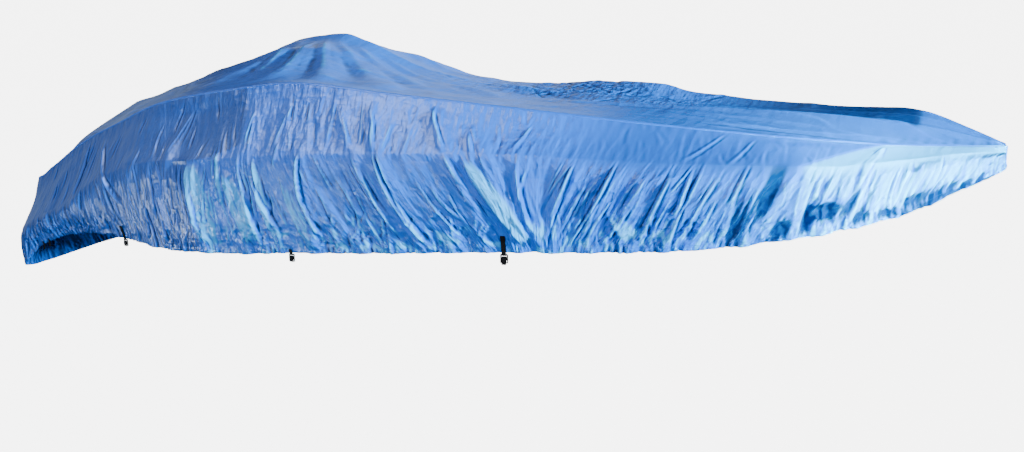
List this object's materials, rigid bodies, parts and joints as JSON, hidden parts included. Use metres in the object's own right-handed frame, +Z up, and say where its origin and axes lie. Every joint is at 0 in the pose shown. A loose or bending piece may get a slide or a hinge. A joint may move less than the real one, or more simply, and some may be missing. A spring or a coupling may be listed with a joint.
{
  "type": "fitted boat cover",
  "caption": "Elastic-hemmed runabout cover draped in shape: deck panel, gathered side panels, tie-down webbing with ladder buckles; hollow below for the boat.",
  "frame": {"origin": "under the crown of the deck panel, where the boat's support pole meets the cloth", "axes": "+X to the bow, +Y to port, +Z up"},
  "size_m": [5.2579, 2.0362, 1.4063],
  "materials": {
    "deck_cloth": "coated woven polyester, soft sheen",
    "side_cloth": "coated woven polyester, soft sheen",
    "webbing": "matte woven webbing",
    "buckle_plastic": "moulded satin"
  },
  "bodies": {
    "root": {"deck_panel": "deck_cloth", "side_panel_starboard": "side_cloth", "side_panel_port": "side_cloth", "tab_fore_starboard": "webbing", "tab_mid_starboard": "webbing", "tab_aft_starboard": "webbing", "tab_fore_port": "webbing", "tab_mid_port": "webbing", "tab_aft_port": "webbing", "webbing_fore_starboard": "webbing", "webbing_mid_starboard": "webbing", "webbing_aft_starboard": "webbing", "webbing_fore_port": "webbing", "webbing_mid_port": "webbing", "webbing_aft_port": "webbing", "webbing_quarter_a_starboard": "webbing", "webbing_quarter_b_starboard": "webbing", "webbing_quarter_a_port": "webbing", "webbing_quarter_b_port": "webbing", "buckle_fore_starboard": "buckle_plastic", "buckle_mid_starboard": "buckle_plastic", "buckle_aft_starboard": "buckle_plastic", "buckle_fore_port": "buckle_plastic", "buckle_mid_port": "buckle_plastic", "buckle_aft_port": "buckle_plastic"}
  },
  "joints": []
}
